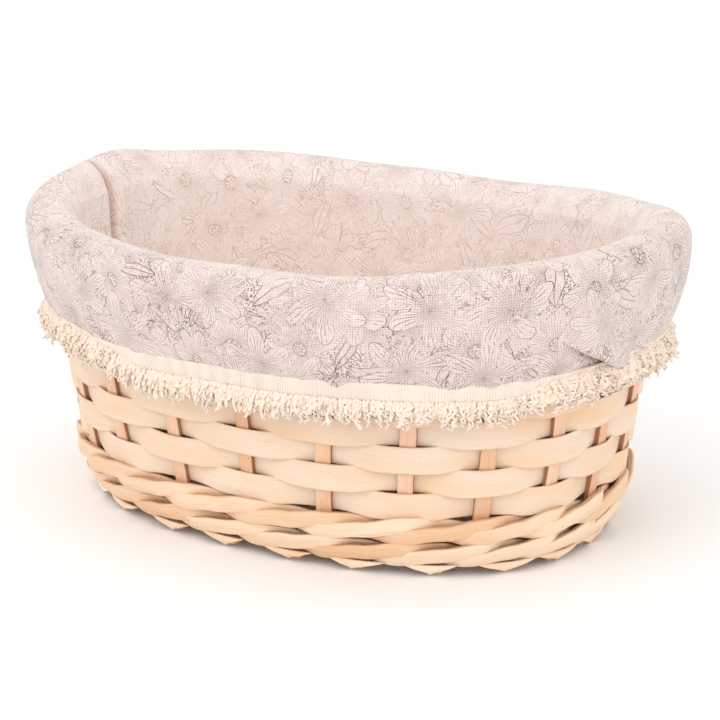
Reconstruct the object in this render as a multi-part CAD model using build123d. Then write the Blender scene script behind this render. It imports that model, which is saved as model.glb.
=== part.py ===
"""Oval lined bread basket: a split-willow basket with a lift-out cotton liner.

Millimetres. X runs along the basket, Y across it and Z up. The origin is under the middle, on the floor.
Every ring follows one wall surface, so a place on the wall is given by three numbers:
the stake count along the wall (0 to STAKES), the height, and the distance outward from the wall's middle.
"""

from build123d import *
import math
import os

import numpy as np

os.makedirs("parts", exist_ok=True)

# ---- driving dimensions -------------------------------------------------------------------------
BASE_HALF_LENGTH = 120.5  # middle of the wall carried straight down to the floor, along X
BASE_HALF_WIDTH = 82.5  # the same, along Y
OVAL_POWER = 2.36  # 2 is an ellipse, more is squarer
FLARE_SLOPE = 0.2036  # how far the wall leans out per mm of height at the floor
FLARE_BEND = 0.000477  # how quickly it stands up again higher up
FOOT_ROUND = 22.0  # below this height the wall rounds inward to the base
FOOT_TUCK = 8.0  # how far in the rounded foot is at the floor

STAKES = 22
STAKE_WIDTH = 6.6
STAKE_THICKNESS = 2.0
STAKE_FOOT = 1.6
STAKE_LEVELS = 18  # stretches of the curve along a stake
STAKE_CROWDING = 0.30  # stakes stand closer at the two ends of the oval than at its long sides
STAKE_PHASE = 0.65  # in stakes, how far stake 0 stands past the +X axis

SPLINT_ROWS = 8
SPLINT_WIDTH = 11.6
SPLINT_THICKNESS = 0.8
SPLINT_PITCH = 10.6
SPLINT_FIRST = 33.7  # height of the lowest row's middle
SPLINT_SLACK = 0.35  # free space between a strip and the stake it passes
SPLINT_SWING = (STAKE_THICKNESS + SPLINT_THICKNESS) / 2 + SPLINT_SLACK
SPLINT_TWIST = 0.85  # between stakes the lower edge leans out this far, to pass the row below
SPLINT_DIP = 0.8  # a row sits this much lower where it passes outside a stake
SPLINT_LAP_WIDTH = 9.2  # the strip narrows where its ends lap
SPLINT_LAP_STEP = SPLINT_THICKNESS + 0.25  # the upper end of a lap lies this far outside the lower
SPLINT_LAP_LENGTH = 1.0  # in stakes
SPLINT_FIRST_LAP = 2  # the stake that the lowest row laps over
SPLINT_LAP_SHIFT = 3  # in stakes, how far each row laps past the one below
SPLINT_LAP_SPAN = 8  # the laps keep to this many stakes, on the basket's back
SPLINT_LAP_EASE = 0.35  # in stakes, how quickly the strip narrows and steps out before its lap

WALE_COURSES = 2
WALE_HEIGHT = 4.6
WALE_DEPTH = 3.6
WALE_SLACK = 0.5  # free space between a rod and the stake it passes
WALE_SWING = (STAKE_THICKNESS + WALE_DEPTH) / 2 + WALE_SLACK
WALE_STEP = 4.9  # a rod climbs this far along its stroke outside the stakes
WALE_COURSE = 11.8  # height between courses
WALE_FIRST = 6.9  # height of the lowest stroke's middle where it starts
WALE_SPAN = 3  # a rod passes outside two stakes and inside the third
WALE_TURN = 7  # in stakes, how much further round the upper course starts
WALE_OUTS = (-1.0, -0.35, 1.0, 1.0, 1.0, -0.35, -1.0)  # every half stake, as shares of the swing
WALE_LIFTS = (0.5, -0.1, 0.0, 0.5, 1.0, 1.1, 0.5)  # every half stake, as shares of the step

FOOT_TAIL = 20.0  # flat tail of each fold under the base
FOOT_THICKNESS = 1.2
FOOT_RISE = 3.9  # height of the pointed flap, which ends just under the lowest rod
FOOT_SPREAD = 26.0  # width of the flap's upper edge
FOOT_INSET = 1.0  # the flap stands this far inside the rods' outer face

BASE_CHIP_WIDTH = 10.0
BASE_CHIP_THICKNESS = 0.9
BASE_CHIP_PITCH = 14.0
BASE_CHIP_SWING = 0.66
BASE_LEVEL = 2.5
BASE_INSET = 11.6

RIM_HEIGHT = 123.3  # middle of the rim, halfway between its high ends and its low sides
RIM_SADDLE = 7.5  # how much higher the rim stands at the ends of the oval; lower rings have less of it
HOOP_HEIGHT = 12.0
HOOP_DEPTH = 5.6
HOOP_GAP = 0.25
HOOP_PROFILE = ((-1, 0.35), (-0.55, 0.72), (0, 1), (0.55, 0.72), (1, 0.35))  # shares of half height and depth
STAKE_TOP_DROP = 1.6  # the stakes end this far below the hoops' upper edge
FILLER_SIZE = 2.0
FILLER_DROP = 0.2  # the filler's middle lies this far below the hoops' upper edge
LASHING_WIDTH = 4.0
LASHING_THICKNESS = 0.8
LASHING_HALF_DEPTH = 7.9
LASHING_HALF_HEIGHT = 8.0
LASHINGS_PER_STAKE = 2

FABRIC = 1.0
ROLL_RADIUS = 11.0  # the fabric's roll over the rim, to the middle of the cloth
LINER_FLOOR = 4.1
LINER_BASE_INSET = 6.5
LINER_GAP = 0.02  # in stakes, half the gap between the two wall pieces at each side seam
LINER_LEVELS = (5.4, 30.0, 60.0, 90.0, 122.8)
SKIRT_WAIST = 0.6  # halfway down, the skirt hangs this far inside the roll
ROLL_STEPS = 7
HEM_HEIGHT = 88.0
HEM_OFFSET = 6.6
SEAM_GAP = 0.1  # between the skirt and the bands sewn to it
TAPE_HEIGHT = 8.0
TAPE_THICKNESS = 1.2
TAPE_LAP = 2.0  # the tape is sewn over this much of the hem
TAPE_LEAN = 0.2
FRINGE_DROP = 12.5
FRINGE_THICKNESS = 4.0
FRINGE_FLARE = 3.4
ELASTIC_HEIGHT = 5.0
ELASTIC_THICKNESS = 0.8
ELASTIC_RAISE = 0.5

POINTS_PER_STAKE = 12


# ---- the wall surface ---------------------------------------------------------------------------
def flare(z):
    """How far the wall stands outside the base's half lengths at this height."""
    below = max(0.0, 1 - z / FOOT_ROUND)
    return FLARE_SLOPE * z - FLARE_BEND * z * z - FOOT_TUCK * below * below


def oval(angle, half_x, half_y):
    """Point and outward normal of the oval at a polar angle."""
    c = math.cos(angle)
    s = math.sin(angle)
    power = OVAL_POWER
    radius = (abs(c / half_x) ** power + abs(s / half_y) ** power) ** (-1 / power)
    x = radius * c
    y = radius * s
    nx = math.copysign(abs(x / half_x) ** (power - 1) / half_x, x)
    ny = math.copysign(abs(y / half_y) ** (power - 1) / half_y, y)
    size = math.hypot(nx, ny)
    return x, y, nx / size, ny / size


def stake_angles():
    """Polar angles for evenly spread stake counts, with the stakes crowded towards the oval's ends."""
    angles = np.linspace(0, 2 * math.pi, 4001)
    middle = flare(60)
    spots = np.array([oval(a, BASE_HALF_LENGTH + middle, BASE_HALF_WIDTH + middle)[:2] for a in angles])
    steps = np.hypot(*np.diff(spots, axis=0).T)
    reach = (spots[1:, 0] + spots[:-1, 0]) / 2 / (BASE_HALF_LENGTH + middle)
    count = np.concatenate([[0], np.cumsum(steps * (1 + STAKE_CROWDING * reach**2))])
    return angles, count * STAKES / count[-1]


ANGLES, COUNTS = stake_angles()


def angle_at(count):
    """Polar angle of a place given in stakes."""
    turns, rest = divmod(count + STAKE_PHASE, STAKES)
    return 2 * math.pi * turns + float(np.interp(rest, COUNTS, ANGLES))


def on_wall(count, z, out=0.0):
    """The point at a stake count and height, moved outward from the wall's middle.

    The wall warps like a saddle towards the rim, so the true height differs a little from z.
    """
    half_x = BASE_HALF_LENGTH + flare(z)
    x, y, nx, ny = oval(angle_at(count), half_x, BASE_HALF_WIDTH + flare(z))
    saddle = RIM_SADDLE * ((x / half_x) ** 2 - 0.5) * (z / RIM_HEIGHT) ** 2
    return Vector(x + nx * out, y + ny * out, z + saddle)


# ---- solids from edge curves --------------------------------------------------------------------
def end_cap(corners):
    """Triangles that close an end whose corners may not be quite flat; corner i faces corner -1 - i."""
    last = len(corners) - 1
    faces = []
    for i in range(len(corners) // 2 - 1):
        for trio in ((i, i + 1, last - i), (i + 1, last - i - 1, last - i)):
            faces.append(Face(Wire.make_polygon([corners[k] for k in trio], close=True)))
    return faces


def skin(corner_lines, closed):
    """A solid whose long edges are smooth curves through the given corner points."""
    edges = [Edge.make_spline(line, periodic=closed) for line in corner_lines]
    faces = [
        Face.make_surface_from_curves(edges[i - 1], edges[i])
        for i in range(len(edges))
    ]
    if not closed:
        faces += end_cap([line[0] for line in corner_lines])
        faces += end_cap([line[-1] for line in corner_lines])
    body = Solid(Shell(faces))
    return body if body.volume > 0 else Solid(Shell([-face for face in faces]))


def ring(section, points=STAKES * 5):
    """A closed ring: section(count) gives its corners, each as (height, distance outward)."""
    counts = [STAKES * i / points for i in range(points)]
    sections = [[on_wall(count, *corner) for corner in section(count)] for count in counts]
    return skin([list(line) for line in zip(*sections)], closed=True)


def strip(section, start, end, points):
    """An open strip along the wall between two stake counts."""
    counts = [start + (end - start) * i / (points - 1) for i in range(points)]
    sections = [[on_wall(count, *corner) for corner in section(count)] for count in counts]
    return skin([list(line) for line in zip(*sections)], closed=False)


def hexagon(z, out, height, depth):
    """Six corners of a rounded rod: (height, distance outward) pairs."""
    corners = []
    for i in range(6):
        turn = math.radians(60 * i)
        corners.append((z + height / 2 * math.sin(turn) * 1.1, out + depth / 2 * math.cos(turn)))
    return corners


def save(name, *solids):
    """Writes one sub-part, which may be a group of like pieces."""
    shape = solids[0] if len(solids) == 1 else Compound(children=list(solids))
    shape.label = name
    export_step(shape, f"parts/{name}.step")


# ---- wall: stakes and splint rows ---------------------------------------------------------------
def eased(share):
    """Turns an even rise from 0 to 1 into one with a soft start and end."""
    share = min(1.0, max(0.0, share))
    return share * share * (3 - 2 * share)


def stake(number):
    """A flat upright that leans with the wall, from the foot to inside the rim."""
    top = RIM_HEIGHT + HOOP_HEIGHT / 2 - STAKE_TOP_DROP
    levels = [STAKE_FOOT + (top - STAKE_FOOT) * i / STAKE_LEVELS for i in range(STAKE_LEVELS + 1)]
    lines = []
    for side, face in ((-1, -1), (1, -1), (1, 1), (-1, 1)):
        line = []
        for z in levels:
            middle = on_wall(number, z, face * STAKE_THICKNESS / 2)
            outward = on_wall(number, z, 1.0) - on_wall(number, z, 0.0)
            along = Vector(-outward.Y, outward.X, 0)
            line.append(middle + along * (side * STAKE_WIDTH / 2))
        lines.append(line)
    return skin(lines, closed=False)


def splint_row(row):
    """A flat strip woven in and out of the stakes, whose ends lap outside one stake."""
    middle = SPLINT_FIRST + row * SPLINT_PITCH
    lap_stake = SPLINT_FIRST_LAP + SPLINT_LAP_SHIFT * row % SPLINT_LAP_SPAN
    start = lap_stake - SPLINT_LAP_LENGTH / 2
    end = start + STAKES + SPLINT_LAP_LENGTH
    reach = SPLINT_LAP_LENGTH + SPLINT_LAP_EASE

    def section(count):
        weave = math.cos(math.pi * (count + row))
        twist = SPLINT_TWIST * (1 - weave * weave)
        z = middle - SPLINT_DIP * math.tanh(3 * weave)
        over = eased((count - (end - reach)) / SPLINT_LAP_EASE)
        under = eased((start + reach - count) / SPLINT_LAP_EASE)
        half = (SPLINT_WIDTH + (SPLINT_LAP_WIDTH - SPLINT_WIDTH) * max(over, under)) / 2
        out = SPLINT_SWING * weave + SPLINT_LAP_STEP * over
        half_thick = SPLINT_THICKNESS / 2
        return [
            (z - half, out + twist - half_thick),
            (z - half, out + twist + half_thick),
            (z + half, out - twist + half_thick),
            (z + half, out - twist - half_thick),
        ]

    return strip(section, start, end, int(end - start) * POINTS_PER_STAKE + 1)


# ---- foot: waling rods and the folds they stand on ----------------------------------------------
def between(place, values):
    """Moves smoothly from each value to the next as place counts up."""
    cell = int(place)
    return values[cell] + (values[cell + 1] - values[cell]) * eased(place - cell)


def wale_rod(course, rod):
    """A split rod that passes outside two stakes, rising, and inside the third, dropping."""
    low = WALE_FIRST + course * WALE_COURSE
    first = rod + WALE_TURN * course

    def section(count):
        place = (count - first) % WALE_SPAN
        out = WALE_SWING * between(2 * place, WALE_OUTS)
        z = low + WALE_STEP * between(2 * place, WALE_LIFTS)
        return hexagon(z, out, WALE_HEIGHT, WALE_DEPTH)

    span = WALE_SPAN * (STAKES // WALE_SPAN)
    return strip(section, first, first + span, span * POINTS_PER_STAKE + 1)


def foot_fold(number):
    """The folded end of a stake: a flat tail under the base and a short pointed flap under the rods."""
    count = number + 0.5
    heel = WALE_SWING + WALE_DEPTH / 2 - FOOT_INSET
    corner = on_wall(count, FOOT_RISE, heel)
    outward = on_wall(count, FOOT_RISE, heel + 1.0) - corner
    corner = Vector(corner.X, corner.Y, 0)
    tail_plane = Plane(origin=corner - outward * FOOT_TAIL / 2, x_dir=outward, z_dir=(0, 0, 1))
    tail_size = FOOT_TAIL + 2 * FOOT_THICKNESS
    tail = extrude(tail_plane * Rectangle(tail_size, STAKE_WIDTH), FOOT_THICKNESS)
    flap_outline = Polyline(
        (-STAKE_WIDTH / 2, 0),
        (STAKE_WIDTH / 2, 0),
        (FOOT_SPREAD / 2, FOOT_RISE),
        (-FOOT_SPREAD / 2, FOOT_RISE),
        close=True,
    )
    along = outward.cross(Vector(0, 0, 1))
    flap_plane = Plane(origin=corner, x_dir=-along, z_dir=outward)
    flap = extrude(flap_plane * make_face(flap_outline), FOOT_THICKNESS)
    return (tail + flap).solid()


# ---- base: a plain weave of flat chips ----------------------------------------------------------
def base_chip(across, place, order, half_run, spacing, parity):
    """One wavy chip of the base, running along X or Y."""
    crossings = int(half_run // spacing)
    points = crossings * 8 + 9
    lines = []
    for side, face in ((-1, -1), (1, -1), (1, 1), (-1, 1)):
        line = []
        for i in range(points):
            run = -half_run + 2 * half_run * i / (points - 1)
            weave = math.tanh(3 * math.cos(math.pi * (run / spacing + parity + order)))
            z = BASE_LEVEL + BASE_CHIP_SWING * weave + face * BASE_CHIP_THICKNESS / 2
            side_way = place + side * BASE_CHIP_WIDTH / 2
            line.append(Vector(side_way, run, z) if across else Vector(run, side_way, z))
        lines.append(line)
    return skin(lines, closed=False)


def half_chord(place, half_here, half_there):
    """Half the chord of the base's outline at a distance from its axis."""
    share = max(0.0, 1 - abs(place / half_here) ** OVAL_POWER)
    return half_there * share ** (1 / OVAL_POWER)


def base_chips(across):
    """All the chips that run one way."""
    half_x = BASE_HALF_LENGTH - BASE_INSET
    half_y = BASE_HALF_WIDTH - BASE_INSET
    here, there = (half_x, half_y) if across else (half_y, half_x)
    reach = int((here - BASE_CHIP_WIDTH) // BASE_CHIP_PITCH)
    chips = []
    for order in range(-reach, reach + 1):
        place = order * BASE_CHIP_PITCH
        edge = abs(place) + BASE_CHIP_WIDTH / 2
        run = half_chord(edge, here, there)
        chips.append(base_chip(across, place, order, run, BASE_CHIP_PITCH, 1 if across else 0))
    return chips


# ---- rim: two hoops, a filler rod and the lashing -----------------------------------------------
def rim_hoop(side):
    """A half-round hoop inside (-1) or outside (1) the stake tops."""
    near = STAKE_THICKNESS / 2 + HOOP_GAP
    half = HOOP_HEIGHT / 2
    corners = [(RIM_HEIGHT - half, side * near)]
    for up, out in HOOP_PROFILE:
        corners.append((RIM_HEIGHT + half * up, side * (near + HOOP_DEPTH * out)))
    corners.append((RIM_HEIGHT + half, side * near))
    return ring(lambda count: corners)


def rim_filler():
    """A thin rod that covers the stake tops between the hoops."""
    level = RIM_HEIGHT + HOOP_HEIGHT / 2 - FILLER_DROP
    return ring(lambda count: hexagon(level, 0.0, FILLER_SIZE, FILLER_SIZE))


def rim_lashing():
    """A flat strand wound round the hoops, passing between the stakes."""
    turns = STAKES * LASHINGS_PER_STAKE
    per_turn = 12
    points = (turns - 1) * per_turn + 1
    lines = [[], [], [], []]
    for i in range(points):
        turn = i / per_turn
        count = (turn + 0.5) / LASHINGS_PER_STAKE
        swing = 2 * math.pi * turn
        centre = on_wall(count, RIM_HEIGHT)
        outward = on_wall(count, RIM_HEIGHT, 1.0) - centre
        along = Vector(-outward.Y, outward.X, 0)
        normal = outward * -math.sin(swing) + Vector(0, 0, -math.cos(swing))
        spot = (
            centre
            + outward * (-math.sin(swing) * LASHING_HALF_DEPTH)
            + Vector(0, 0, -math.cos(swing) * LASHING_HALF_HEIGHT)
        )
        for line, (side, face) in zip(lines, ((-1, -1), (1, -1), (1, 1), (-1, 1))):
            line.append(
                spot
                + along * (side * LASHING_WIDTH / 2)
                + normal * (face * LASHING_THICKNESS / 2)
            )
    return skin(lines, closed=False)


# ---- liner --------------------------------------------------------------------------------------
def liner_wall_offset(z):
    """Middle of the liner's wall: near the wicker at the floor, inside the rim's roll at the top."""
    share = (z - LINER_FLOOR) / (RIM_HEIGHT - LINER_FLOOR)
    return -LINER_BASE_INSET - (ROLL_RADIUS - LINER_BASE_INSET) * share


def liner_half_wall(side):
    """The front (-1) or back (1) half of the liner's side, from seam to seam."""
    outer = [(z, liner_wall_offset(z) + FABRIC / 2) for z in LINER_LEVELS]
    inner = [(z, liner_wall_offset(z) - FABRIC / 2) for z in LINER_LEVELS]
    corners = outer + inner[::-1]
    half = STAKES // 2
    start = LINER_GAP - STAKE_PHASE + (0 if side > 0 else half)
    return strip(lambda count: corners, start, start + half - 2 * LINER_GAP, half * 5 + 1)


def liner_base_panel():
    """The oval floor of the liner."""
    spread = flare(LINER_FLOOR) - LINER_BASE_INSET
    points = STAKES * 4
    line = []
    for i in range(points):
        x, y = oval(2 * math.pi * i / points, BASE_HALF_LENGTH + spread, BASE_HALF_WIDTH + spread)[:2]
        line.append(Vector(x, y, LINER_FLOOR))
    return extrude(Face(Wire([Edge.make_spline(line, periodic=True)])), FABRIC).solid()


def liner_skirt():
    """The cloth over the rim's roll and down outside to the hem."""
    waist = (HEM_HEIGHT + RIM_HEIGHT) / 2
    faces = []
    for side in (1, -1):
        shift = side * FABRIC / 2
        face = []
        for i in range(ROLL_STEPS + 1):
            turn = math.pi * (1 - i / ROLL_STEPS)
            radius = ROLL_RADIUS + shift
            face.append((RIM_HEIGHT + radius * math.sin(turn), radius * math.cos(turn)))
        face.append((waist, ROLL_RADIUS + shift - SKIRT_WAIST))
        face.append((HEM_HEIGHT, HEM_OFFSET + shift))
        faces.append(face)
    corners = faces[0] + faces[1][::-1]
    return ring(lambda count: corners)


def band(low, high, out_low, out_high, thickness):
    """A plain upright band around the wall."""
    half = thickness / 2
    return ring(lambda count: [
        (low, out_low - half),
        (low, out_low + half),
        (high, out_high + half),
        (high, out_high - half),
    ])


# ---- assembly -----------------------------------------------------------------------------------
for number in range(STAKES):
    save(f"stake_{number + 1:02d}", stake(number))

for row in range(SPLINT_ROWS):
    save(f"splint_row_{row + 1:02d}", splint_row(row))

for course in range(WALE_COURSES):
    for rod in range(WALE_SPAN):
        save(f"wale_rod_{course * WALE_SPAN + rod + 1}", wale_rod(course, rod))

save("foot_folds", *[foot_fold(number) for number in range(STAKES)])
save("base_long_chips", *base_chips(across=False))
save("base_cross_chips", *base_chips(across=True))

save("rim_hoop_outer", rim_hoop(1))
save("rim_hoop_inner", rim_hoop(-1))
save("rim_filler", rim_filler())
save("rim_lashing", rim_lashing())

save("liner_base_panel", liner_base_panel())
save("liner_wall_back", liner_half_wall(1))
save("liner_wall_front", liner_half_wall(-1))
save("liner_skirt", liner_skirt())

elastic_low = HEM_HEIGHT + ELASTIC_RAISE
elastic_out = HEM_OFFSET - FABRIC / 2 - SEAM_GAP - ELASTIC_THICKNESS / 2
elastic = band(elastic_low, elastic_low + ELASTIC_HEIGHT, elastic_out, elastic_out, ELASTIC_THICKNESS)
save("hem_elastic", elastic)

tape_high = HEM_HEIGHT + TAPE_LAP
tape_low = tape_high - TAPE_HEIGHT
tape_out = HEM_OFFSET + FABRIC / 2 + SEAM_GAP + TAPE_THICKNESS / 2
save("fringe_tape", band(tape_low, tape_high, tape_out, tape_out + TAPE_LEAN, TAPE_THICKNESS))

fringe_top = tape_low - SEAM_GAP
fringe_low = fringe_top - FRINGE_DROP
fringe = band(fringe_low, fringe_top, tape_out + FRINGE_FLARE, tape_out, FRINGE_THICKNESS)
save("fringe", fringe)
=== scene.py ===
"""Looks of the oval lined bread basket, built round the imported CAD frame. Metres, same frame as the CAD."""

import math

import bpy
import numpy as np
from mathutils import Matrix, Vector


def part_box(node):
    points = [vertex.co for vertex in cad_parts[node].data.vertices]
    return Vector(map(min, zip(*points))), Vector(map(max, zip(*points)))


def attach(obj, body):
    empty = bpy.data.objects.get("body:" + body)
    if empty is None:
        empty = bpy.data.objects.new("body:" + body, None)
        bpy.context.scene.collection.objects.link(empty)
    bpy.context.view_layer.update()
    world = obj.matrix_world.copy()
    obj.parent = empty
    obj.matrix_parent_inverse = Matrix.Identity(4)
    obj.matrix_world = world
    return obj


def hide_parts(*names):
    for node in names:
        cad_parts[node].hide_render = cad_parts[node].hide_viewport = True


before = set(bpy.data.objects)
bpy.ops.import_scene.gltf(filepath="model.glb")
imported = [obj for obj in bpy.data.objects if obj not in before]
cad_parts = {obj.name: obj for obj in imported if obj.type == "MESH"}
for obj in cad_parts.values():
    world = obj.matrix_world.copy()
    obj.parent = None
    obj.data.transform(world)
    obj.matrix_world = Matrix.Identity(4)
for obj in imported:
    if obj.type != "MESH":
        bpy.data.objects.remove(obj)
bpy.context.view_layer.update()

# ---- the wall surface, as the CAD model has it --------------------------------------------------
STAKES = 22
HALF_LENGTH = 0.1205
HALF_WIDTH = 0.0825
OVAL_POWER = 2.36
FLARE_SLOPE = 0.2036
FLARE_BEND = 0.477
FOOT_ROUND = 0.022
FOOT_TUCK = 0.008
CROWDING = 0.30
PHASE = 0.65
RIM_HEIGHT = 0.1233
SADDLE = 0.0075


def flare(z):
    """How far the wall stands outside the base's half lengths at this height."""
    below = np.maximum(0.0, 1 - z / FOOT_ROUND)
    return FLARE_SLOPE * z - FLARE_BEND * z * z - FOOT_TUCK * below**2


def oval(angle, half_x, half_y):
    """Points and outward normals of the oval at polar angles."""
    c = np.cos(angle)
    s = np.sin(angle)
    radius = (np.abs(c / half_x) ** OVAL_POWER + np.abs(s / half_y) ** OVAL_POWER) ** (-1 / OVAL_POWER)
    x = radius * c
    y = radius * s
    nx = np.sign(x) * np.abs(x / half_x) ** (OVAL_POWER - 1) / half_x
    ny = np.sign(y) * np.abs(y / half_y) ** (OVAL_POWER - 1) / half_y
    size = np.hypot(nx, ny)
    return x, y, nx / size, ny / size


def count_table():
    """Polar angle, stake count and true length along the wall, for evenly spread angles."""
    angles = np.linspace(0, 2 * math.pi, 4001)
    middle = flare(0.060)
    x, y, _, _ = oval(angles, HALF_LENGTH + middle, HALF_WIDTH + middle)
    steps = np.hypot(np.diff(x), np.diff(y))
    reach = (x[1:] + x[:-1]) / 2 / (HALF_LENGTH + middle)
    counts = np.concatenate([[0], np.cumsum(steps * (1 + CROWDING * reach**2))])
    lengths = np.concatenate([[0], np.cumsum(steps)])
    return angles, counts * STAKES / counts[-1], lengths


ANGLES, COUNTS, LENGTHS = count_table()
GIRTH = LENGTHS[-1]
RIM_STRETCH = 1.12  # the rim is this much longer round than the wall's middle


def angle_at(count):
    """Polar angle of places given in stakes."""
    turns, rest = np.divmod(np.asarray(count, float) + PHASE, STAKES)
    return 2 * math.pi * turns + np.interp(rest, COUNTS, ANGLES)


def length_at(count):
    """Length along the wall of places given in stakes."""
    turns, rest = np.divmod(np.asarray(count, float) + PHASE, STAKES)
    return GIRTH * turns + np.interp(rest, COUNTS, LENGTHS)


def arc_length(angle):
    """Length along the wall at polar angles, which may run past a full turn."""
    turns, rest = np.divmod(angle, 2 * math.pi)
    return GIRTH * turns + np.interp(rest, ANGLES, LENGTHS)


def on_wall_angle(angle, z, out):
    """Points on the wall at polar angles and heights, moved outward from the wall's middle."""
    z = np.asarray(z, float)
    half_x = HALF_LENGTH + flare(z)
    x, y, nx, ny = oval(angle, half_x, HALF_WIDTH + flare(z))
    lift = SADDLE * ((x / half_x) ** 2 - 0.5) * (z / RIM_HEIGHT) ** 2
    return np.stack([x + nx * out, y + ny * out, z + lift], axis=-1)


def on_wall(count, z, out):
    """The same, from stake counts."""
    return on_wall_angle(angle_at(count), z, out)


# ---- small tools --------------------------------------------------------------------------------
def circle(count):
    """Evenly spread angles round a full turn, without the closing one."""
    return np.linspace(0, 2 * math.pi, count, endpoint=False)


def turn_gap(turn, middle):
    """Signed angle from middle to turn, the short way round."""
    return (turn - middle + math.pi) % (2 * math.pi) - math.pi


def there_and_back(values):
    """Values across a front face, back across the rear one and at the start again, for a closed section."""
    return np.concatenate([values, values[::-1], values[:1]])


def wobble(t, seed, waves=6, low=0.5, high=4.0):
    """Smooth noise of about -1 to 1 along t, from a few sines."""
    rng = np.random.default_rng(seed)
    rates = rng.uniform(low, high, waves)
    phases = rng.uniform(0, 2 * math.pi, waves)
    weights = rng.uniform(0.4, 1.0, waves) / np.sqrt(rates)
    total = sum(w * np.sin(r * t + p) for w, r, p in zip(weights, rates, phases))
    return total / (0.75 * weights.sum())


def ring_wobble(turn, seed, orders, strength=1.0):
    """Smooth noise that closes on itself round the basket; turn runs from 0 to 2 pi."""
    rng = np.random.default_rng(seed)
    total = np.zeros_like(turn)
    for order in orders:
        total = total + rng.uniform(0.4, 1.0) * np.sin(order * turn + rng.uniform(0, 2 * math.pi))
    return strength * total / math.sqrt(len(orders))


def ease(t):
    """0 to 1 with a soft start and end."""
    t = np.clip(t, 0, 1)
    return t * t * (3 - 2 * t)


def eased_steps(place, values):
    """Moves smoothly from each value to the next as place counts up."""
    values = np.asarray(values, float)
    cell = np.floor(place).astype(int)
    return values[cell] + (values[cell + 1] - values[cell]) * ease(place - cell)


class Builder:
    """Collects vertices, faces, UVs in metres and a tone per vertex, and makes one mesh object."""

    def __init__(self):
        self.verts = []
        self.faces = []
        self.uvs = []
        self.tones = []
        self.count = 0

    def grid(self, points, u, v, tone=0.0, loop_along=False, loop_across=False, cap=False):
        """Quads over points[along, across]; u and v have one more entry where that way closes."""
        rows, cols = points.shape[:2]
        start = self.count
        self.verts.append(points.reshape(-1, 3))
        self.tones.append(np.broadcast_to(np.asarray(tone, float), (rows, cols)).reshape(-1))
        self.count += rows * cols
        i = np.arange(rows if loop_along else rows - 1)
        j = np.arange(cols if loop_across else cols - 1)
        ii, jj = np.meshgrid(i, j, indexing="ij")
        ii = ii.ravel()
        jj = jj.ravel()
        i2 = (ii + 1) % rows
        j2 = (jj + 1) % cols
        corners = [(ii, jj, ii, jj), (i2, jj, ii + 1, jj), (i2, j2, ii + 1, jj + 1), (ii, j2, ii, jj + 1)]
        quads = np.stack([start + a * cols + b for a, b, _, _ in corners], axis=1)
        u = np.asarray(u, float)
        v = np.asarray(v, float)
        if u.ndim == 1:
            u = np.repeat(u[:, None], len(v) if v.ndim == 1 else v.shape[1], axis=1)
        if v.ndim == 1:
            v = np.repeat(v[None, :], u.shape[0], axis=0)
        uv = np.stack([np.stack([u[a, b], v[a, b]], axis=1) for _, _, a, b in corners], axis=1)
        self.faces += quads.tolist()
        self.uvs.append(uv.reshape(-1, 2))
        if cap:
            for row, flip in ((0, False), (rows - 1, True)):
                face = [start + row * cols + k for k in range(cols)]
                self.faces.append(face[::-1] if flip else face)
                flat = np.stack([np.full(cols, u[row, 0]), v[row, :cols]], axis=1)
                self.uvs.append(flat[::-1] if flip else flat)

    def object(self, name, material):
        """The finished mesh object."""
        mesh = bpy.data.meshes.new(name)
        mesh.from_pydata(np.concatenate(self.verts).tolist(), [], self.faces)
        layer = mesh.uv_layers.new(name="UVMap")
        layer.data.foreach_set("uv", np.concatenate(self.uvs).ravel())
        tone = mesh.attributes.new("tone", "FLOAT", "POINT")
        tone.data.foreach_set("value", np.concatenate(self.tones))
        mesh.polygons.foreach_set("use_smooth", [True] * len(mesh.polygons))
        mesh.materials.append(material)
        mesh.update()
        piece = bpy.data.objects.new(name, mesh)
        bpy.context.scene.collection.objects.link(piece)
        return piece


def place(piece, body, slot, *nodes):
    """Rides a piece on its body and hides the CAD nodes it stands for; slot is not used."""
    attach(piece, body)
    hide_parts(*nodes)
    return piece


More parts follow.
